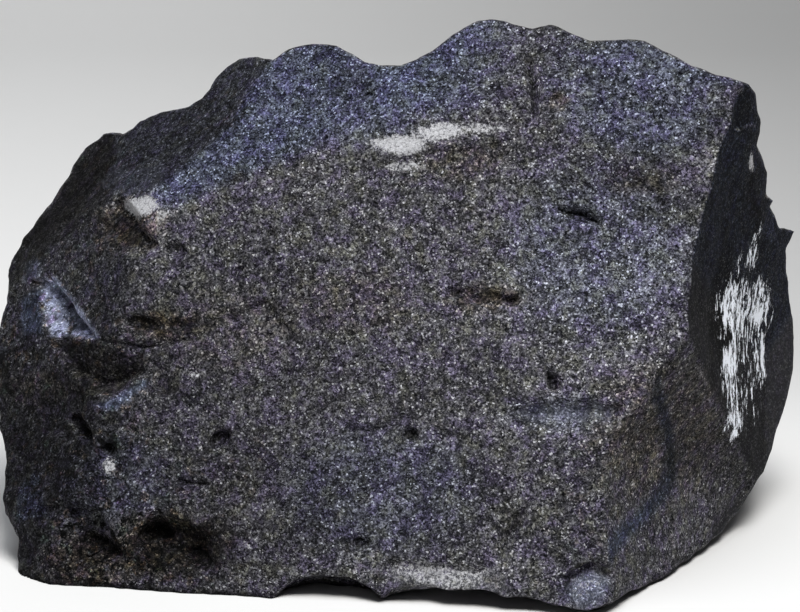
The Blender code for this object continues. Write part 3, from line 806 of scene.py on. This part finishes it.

# Patches of finish, painted light and shade: place in the view, half length, half width, and strength
# Dark patches: painted shade on the left, the foot and hollows, partly darker stone
SHADE_AND_DARK_PATCHES = (
    (60, 450, 100, 120, 0.60), (96, 366, 66, 42, 0.30), (178, 548, 92, 48, 0.80),
    (60, 550, 90, 46, 0.62), (250, 500, 130, 110, 0.27), (250, 330, 140, 140, 0.17),
    (165, 370, 110, 180, 0.31), (724, 320, 14, 110, 0.75), (132, 450, 56, 120, 0.22),
    (8, 450, 22, 130, 0.60), (100, 545, 40, 20, 0.75), (172, 384, 22, 24, 0.45),
    (758, 175, 16, 100, 0.45), (742, 108, 20, 30, 0.40), (130, 232, 34, 26, 0.35),
    (150, 500, 90, 70, 0.30), (490, 298, 46, 16, 0.22), (640, 176, 50, 22, 0.32),
    (556, 560, 40, 30, 0.15), (16, 430, 20, 70, 0.4), (700, 290, 14, 60, 0.3),
)
LIGHT_PATCHES = ((640, 520, 90, 70, 0.55), (440, 582, 70, 24, 0.35))
# Bright patches: painted light on places that face the lamps, partly pale stone
PAINTED_LIGHT_AND_PALE_PATCHES = (
    (586, 588, 28, 18, 0.80), (104, 468, 12, 20, 0.5),
    (560, 405, 120, 50, 0.30), (600, 300, 140, 130, 0.38), (420, 300, 140, 130, 0.09),
    (480, 576, 130, 26, 0.38), (150, 205, 40, 30, 0.4), (430, 420, 50, 14, 0.25),
    (280, 150, 100, 60, 0.1),
)
# Blue patches: partly painted sky light on faces turned up
BLUE_PATCHES = (
    (585, 590, 34, 22, 0.45), (600, 250, 130, 120, 0.35), (570, 415, 90, 26, 0.3),
    (330, 100, 130, 60, 0.6), (640, 110, 110, 60, 0.5), (380, 490, 130, 90, 0.32),
    (110, 480, 80, 70, 0.3),
)
BROWN_PATCHES = (
    (130, 226, 46, 30, 0.9), (170, 325, 56, 22, 0.8), (165, 545, 80, 42, 1.0),
    (640, 180, 48, 20, 0.5), (490, 298, 56, 20, 0.8), (556, 102, 16, 12, 0.8),
    (95, 560, 70, 34, 0.9), (40, 385, 50, 30, 0.5), (660, 430, 90, 90, 0.55),
    (350, 300, 90, 40, 0.35), (756, 180, 14, 80, 0.8), (460, 160, 60, 26, 0.5),
    (230, 330, 90, 60, 0.3),
)
BRUISE_PATCHES = (
    (140, 207, 22, 16, 1.1), (161, 217, 10, 9, 0.7), (398, 141, 40, 14, 1.05),
    (440, 131, 38, 11, 0.95), (484, 128, 36, 8, 0.75), (402, 163, 32, 8, 0.7),
    (106, 468, 8, 16, 0.8), (752, 167, 6, 12, 0.9), (440, 574, 78, 22, 0.66),
    (585, 590, 24, 12, 0.4), (430, 418, 40, 9, 0.4), (197, 374, 9, 7, 0.7),
)
# Streaks of painted glare on the glossy right face, with a little pale mineral
GLARE_AND_MINERAL_PATCHES = (
    (733, 304, 18, 40, 1.0), (731, 368, 15, 50, 1.0), (735, 418, 10, 34, 0.8),
    (757, 305, 14, 40, 1.0), (754, 250, 10, 34, 0.7), (757, 356, 12, 42, 0.8),
    (742, 340, 28, 118, 0.50),
)
MOTTLE_PATCHES = (
    (60, 400, 130, 210, 1.0), (120, 545, 150, 80, 1.3), (740, 300, 50, 190, 0.6),
    (90, 190, 80, 110, 0.8), (210, 110, 60, 50, 0.6), (210, 470, 90, 60, 0.6),
    (620, 500, 120, 130, 0.35),
)
MOTTLE_REST = 0.16  # the least mottling anywhere
PATCH_WANDER = 6.0  # how many pixels the patches' borders wander
PATCH_EDGE = 0.6  # the outer share of a patch, over which it fades
MARKS_TURN = (0.02, 0.14)  # how far a point must face the viewer, as a cosine: from none to all

# Facets with painted light and shade beside a tone of their own: light beside the rest, which is
# painted light and shade by how each faces the lamps and the sky, on the triangle a painted
# reflection of the sky, and partly its own tone; blue, brown, how much of the grain a smooth pale
# skin hides, and their corners in the view, each with the pixels over which the tone fades in from
# the side that leads to the next
LIT_SHADED_AND_TONED_FACETS = {
    "triangle": (3.4, 0.5, 0.0, 0.60, (50, 334, 3), (42, 276, 3), (60, 275, 3), (106, 338, 2)),
    "triangle_side": (1.1, 0.9, 0.0, 0.0, (16, 334, 8), (18, 300, 8), (46, 276, 3), (46, 334, 6)),
    "triangle_side_skin": (1.0, 0.0, 0.0, 0.35, (16, 334, 8), (18, 300, 8), (43, 278, 3),
                           (48, 332, 4)),
    "teal_corner": (1.5, 0.5, 0.0, 0.0, (18, 290, 8), (24, 256, 8), (50, 250, 8), (46, 276, 6)),
    "teal_corner_skin": (1.0, 0.0, 0.0, 0.35, (15, 259, 6), (42, 253, 6), (48, 275, 6),
                         (24, 288, 6)),
    "dark_hollow": (0.42, 0.0, 0.3, 0.0, (46, 337, 4), (99, 338, 3), (150, 364, 3), (147, 377, 3),
                    (127, 390, 4), (83, 398, 6)),
    "hollow_ledge": (1.9, 0.8, 0.0, 0.35, (80, 402, 5), (128, 388, 3), (152, 378, 4),
                     (150, 392, 5), (112, 412, 6)),
    "brown_strip": (0.60, 0.0, 1.0, 0.0, (127, 320, 5), (150, 304, 5), (208, 320, 6),
                    (200, 338, 4), (135, 334, 4)),
    "tip_step": (0.62, 0.0, 0.8, 0.0, (124, 204, 3), (163, 246, 5), (150, 256, 8), (100, 226, 8)),
    "arc_step": (0.55, 0.0, 0.2, 0.0, (154, 384, 4), (170, 378, 5), (194, 384, 4), (172, 400, 3)),
    "crescent_rim": (1.25, 0.4, 0.0, 0.25, (480, 396, 3), (560, 403, 3), (640, 392, 6),
                     (606, 432, 16), (524, 430, 20)),
    "right_rim": (2.2, 0.1, 0.0, 0.0, (750, 94, 3), (760, 110, 3), (770, 190, 3), (778, 244, 4),
                  (757, 236, 3), (750, 160, 3)),
    "outer_band": (0.45, 0.0, 0.2, 0.0, (14, 246, 5), (73, 172, 5), (108, 132, 5), (118, 150, 6),
                   (94, 188, 6), (40, 250, 6)),
    "violet_facet": (1.45, 0.3, 0.0, 0.30, (104, 163, 5), (158, 158, 5), (170, 172, 8),
                     (158, 192, 8), (126, 201, 5), (94, 188, 6)),
    "left_low_blue": (1.3, 0.8, 0.0, 0.0, (14, 482, 6), (42, 468, 8), (56, 520, 8), (20, 528, 5)),
    "bottom_black": (0.60, 0.0, 0.4, 0.0, (140, 512, 8), (176, 506, 8), (214, 540, 10),
                     (206, 572, 10), (168, 566, 10)),
    "foot_top": (0.7, 0.0, 0.0, 0.0, (556, 590, 3), (584, 566, 3), (622, 562, 3), (600, 573, 4)),
    "foot_chip_skin": (1.0, 0.0, 0.0, 0.30, (564, 586, 4), (588, 569, 4), (614, 576, 8),
                       (604, 612, 8), (574, 614, 8)),
    "foot_strip_skin": (1.0, 0.0, 0.0, 0.20, (372, 576, 8), (426, 562, 10), (500, 566, 10),
                        (520, 600, 6), (400, 600, 6)),
}
FOOT_SHADE = (0.85, 1.4)  # how dark the lowest rim is, and how many millimetres high


def stone_masks(carved, sight, wander, squares):
    """Where each finish, painted light and painted shade lies, from 0 to 1: by the plane that a point
    was carved on, and by place in the view on what faces it."""
    across, down = view_place(sight)
    moved = across + PATCH_WANDER * wander[:, 0], down + PATCH_WANDER * wander[:, 1]
    facing = facing_of(sight, squares)
    front = eased((facing[:, 2] - MARKS_TURN[0]) / (MARKS_TURN[1] - MARKS_TURN[0]))
    cut = cut_place(carved, wander)
    planes = dict(zip(FRONT_FACES, PLANES[1:]))
    planes.update({name: joined[1] for name, joined in zip(JOINED_FACES, JOINED)})
    dark, blue, smooth = (np.zeros(len(across)) for _ in range(3))
    for name, (darker, tint, even) in FACE_SHADE_AND_FINISH.items():
        on_face = eased(1.0 - np.abs(gap_to(planes[name], cut)) / FACE_EDGE)
        turned = facing @ planes[name][0] - FACE_TURN[0]
        on_face *= eased(turned / (FACE_TURN[1] - FACE_TURN[0]))
        dark = np.maximum(dark, darker * on_face)
        blue = np.maximum(blue, tint * on_face)
        smooth = np.maximum(smooth, even * on_face)

    def patches(table):
        """The strongest patch of a table at each point, on what faces the viewer."""
        total = np.zeros(len(across))
        for x, y, long, wide, strength in table:
            away = np.hypot((moved[0] - x) / long, (moved[1] - y) / wide)
            total = np.maximum(total, strength * eased((1.0 - away) / PATCH_EDGE))
        return total * front

    # The light mask: painted shade and painted light by face and patch, partly darker and paler stone
    light = (1.0 - dark) * (1.0 - patches(SHADE_AND_DARK_PATCHES))
    light += (1.0 - light) * patches(LIGHT_PATCHES)
    light *= 1.0 + patches(PAINTED_LIGHT_AND_PALE_PATCHES)
    blue, brown = np.maximum(blue, patches(BLUE_PATCHES)), patches(BROWN_PATCHES)
    wandered = across + WANDER_CUTS * wander[:, 0], down + WANDER_CUTS * wander[:, 1]
    pale = np.zeros(len(across))
    for lighter, tint, rust, hides, *corners in LIT_SHADED_AND_TONED_FACETS.values():
        share = eased(chip_share(*wandered, corners)) * front
        light *= 1.0 + (lighter - 1.0) * share
        blue = np.maximum(blue, tint * share)
        brown = np.maximum(brown, rust * share)
        pale = np.maximum(pale, hides * share)
    height = to_world(sight)[:, 2] - REST_LEVEL
    light *= 1.0 - FOOT_SHADE[0] * eased(1.0 - height / FOOT_SHADE[1])
    return {
        "light": light,
        "blue": blue,
        "brown": brown,
        "mottle": np.maximum(patches(MOTTLE_PATCHES), MOTTLE_REST),
        # painted shade in pits and cracks, by how deep they cut
        "deep": np.clip(small_cuts(across, down, wander), 0.0, 1.0) * front,
        "bruise": patches(BRUISE_PATCHES),
        "smooth": smooth,
        "pale": pale,
        "mineral": patches(GLARE_AND_MINERAL_PATCHES),
    }


def add_stone(gaps):
    """The stone's surface in the world: rays carved, roughened, turned upright and set where the
    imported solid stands, then thinned where it is even."""
    rays, squares = block_rays(gaps)
    carved, wander = carve(rays)
    sight = roughened(carved, squares)
    points = to_world(sight)
    points[:, 2] = np.maximum(points[:, 2] - REST_LEVEL, 0.0)
    low, high = (np.array(corner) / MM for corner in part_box("basalt_rock"))
    shift = (low + high)[:2] / 2.0 - (points.min(axis=0) + points.max(axis=0))[:2] / 2.0
    points[:, :2] += shift
    mesh = bpy.data.meshes.new("stone_surface")
    mesh.from_pydata((points * MM).tolist(), [], squares.tolist())
    for name, values in stone_masks(carved, sight, wander, squares).items():
        layer = mesh.attributes.new(name, "FLOAT", "POINT")
        layer.data.foreach_set("value", values.astype(np.float32))
    mesh.shade_smooth()
    stone = bpy.data.objects.new("stone_surface", mesh)
    bpy.context.scene.collection.objects.link(stone)
    mesh.materials.append(basalt())
    triangles = 2 * len(squares)
    if triangles > STONE_TRIANGLES:
        thin = stone.modifiers.new("Thin", "DECIMATE")
        thin.ratio = STONE_TRIANGLES / triangles
    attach(stone, "root")
    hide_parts("basalt_rock")
    return shift


# The paper, in metres: half its width, where its floor begins in front and bends up behind, the
# bend's radius, and how high its wall goes
FLOOR_HALF = 0.9
FLOOR_FRONT = -1.2
BACKDROP_START = 0.42
BACKDROP_BEND = 0.35
BACKDROP_HEIGHT = 0.9
BEND_ROWS = 16
PAPER_TOOTH = 900.0  # grains of its texture to the metre
PAPER = (0.70, 0.694, 0.680)
# The grey behind the stone is painted shade, with a little painted light at the left
PAPER_GREYS = (0.02, 0.12)  # how far behind the stone's middle the paper turns from white to grey
PAPER_TURNS = (-0.12, 0.14)  # from which place to which, left to right, its grey gets darker
PAPER_GREY_LEFT = -0.16  # its grey at the left, and how much more it has at the right
PAPER_GREY_MORE = 0.52


def add_backdrop():
    """Pale paper: a flat floor that bends up behind through a quarter circle to a wall."""
    turn = np.linspace(0.0, math.pi / 2.0, BEND_ROWS)
    deep = np.concatenate([[FLOOR_FRONT], BACKDROP_START + BACKDROP_BEND * np.sin(turn),
                           [BACKDROP_START + BACKDROP_BEND]])
    high = np.concatenate([[0.0], BACKDROP_BEND * (1.0 - np.cos(turn)), [BACKDROP_HEIGHT]])
    wide = np.array([-FLOOR_HALF, FLOOR_HALF])
    x, y = np.meshgrid(wide, deep, indexing="ij")
    z = np.broadcast_to(high, x.shape)
    points = np.stack([x, y, z], axis=-1).reshape(-1, 3)
    count = len(deep)
    row = np.arange(count - 1)
    quads = np.stack([row, row + count, row + count + 1, row + 1], axis=1)
    mesh = bpy.data.meshes.new("paper")
    mesh.from_pydata(points.tolist(), [], quads.tolist())
    mesh.shade_smooth()
    paper = bpy.data.objects.new("paper", mesh)
    bpy.context.scene.collection.objects.link(paper)
    g = Graph("paper_white")
    place = g.node("ShaderNodeTexCoord", out=3)
    tooth = g.node("ShaderNodeTexNoise", None, Vector=place, Scale=PAPER_TOOTH, Detail=2.0)
    normal = g.node("ShaderNodeBump", None, Strength=0.05, Distance=0.0002, Height=tooth)
    right = g.node("ShaderNodeSeparateXYZ", None, place)
    behind = g.node("ShaderNodeSeparateXYZ", None, place, out=1)
    # Painted shade: grey behind the stone, darker to the right and lighter at the left
    greyer = PAPER_GREY_LEFT + right.between(*PAPER_TURNS) * PAPER_GREY_MORE
    light = 1.0 - behind.between(*PAPER_GREYS) * greyer
    shade = g.node("ShaderNodeCombineColor", None, light, light, light)
    g.feed(Base_Color=g.mix("MULTIPLY", 1.0, PAPER, shade), Roughness=0.85, Normal=normal)
    mesh.materials.append(g.material)


def sight_to_world(sight, shift):
    """A sight place as a world place in metres."""
    world = to_world(np.array(sight, float)) * MM
    return Vector((world[0] + shift[0] * MM, world[1] + shift[1] * MM, world[2] - REST_LEVEL * MM))


SENSOR_WIDTH = 36.0  # millimetres


def add_camera(shift):
    """The eye of the view: as far off, tilted and wide as the front was measured with."""
    data = bpy.data.cameras.new("view")
    data.sensor_width = SENSOR_WIDTH
    data.lens = data.sensor_width * VIEW_DISTANCE / (VIEW_SIZE[0] * VIEW_PIXEL)
    camera = bpy.data.objects.new("view", data)
    bpy.context.scene.collection.objects.link(camera)
    camera.location = sight_to_world((0.0, 0.0, VIEW_DISTANCE), shift)
    camera.rotation_euler = (math.pi / 2.0 - SIGHT_TILT, 0.0, 0.0)
    bpy.context.scene.camera = camera


# Lamps: bearing to the right of the front and rise in degrees, distance and width in metres, power
# in watts, and colour
LAMPS = {
    "key": (18.0, 60.0, 0.70, 0.26, 4.6, (1.0, 0.985, 0.965)),
    "sky": (6.0, 74.0, 0.75, 0.55, 4.7, (0.90, 0.94, 1.0)),
}


LAMP_AIM = 0.035  # the height in metres that they are aimed at
ROOM_COLOUR = (0.93, 0.95, 1.0, 1.0)
ROOM_LIGHT = 0.06


def add_lights():
    """Soft square lamps aimed at the stone's middle, and a dim even room."""
    aim = Vector((0.0, 0.0, LAMP_AIM))
    for name, (bearing, rise, distance, width, power, colour) in LAMPS.items():
        a, e = math.radians(bearing), math.radians(rise)
        way = Vector((math.sin(a) * math.cos(e), -math.cos(a) * math.cos(e), math.sin(e)))
        data = bpy.data.lights.new(name, "AREA")
        data.size = width
        data.energy = power
        data.color = colour
        lamp = bpy.data.objects.new(name, data)
        bpy.context.scene.collection.objects.link(lamp)
        lamp.location = aim + way * distance
        lamp.rotation_euler = (-way).to_track_quat("-Z", "Y").to_euler()
    world = bpy.data.worlds.new("room")
    world.use_nodes = True
    background = world.node_tree.nodes["Background"].inputs
    background["Color"].default_value = ROOM_COLOUR
    background["Strength"].default_value = ROOM_LIGHT
    bpy.context.scene.world = world
    bpy.context.scene.view_settings.view_transform = "Standard"


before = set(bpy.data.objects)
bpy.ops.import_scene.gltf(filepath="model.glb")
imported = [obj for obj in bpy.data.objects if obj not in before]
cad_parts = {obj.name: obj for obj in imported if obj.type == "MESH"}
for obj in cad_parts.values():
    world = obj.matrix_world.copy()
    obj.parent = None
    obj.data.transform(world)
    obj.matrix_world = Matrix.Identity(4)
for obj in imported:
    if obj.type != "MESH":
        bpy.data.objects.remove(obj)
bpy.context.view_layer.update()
stone_shift = add_stone(RAY_GAPS)
add_backdrop()
add_camera(stone_shift)
add_lights()
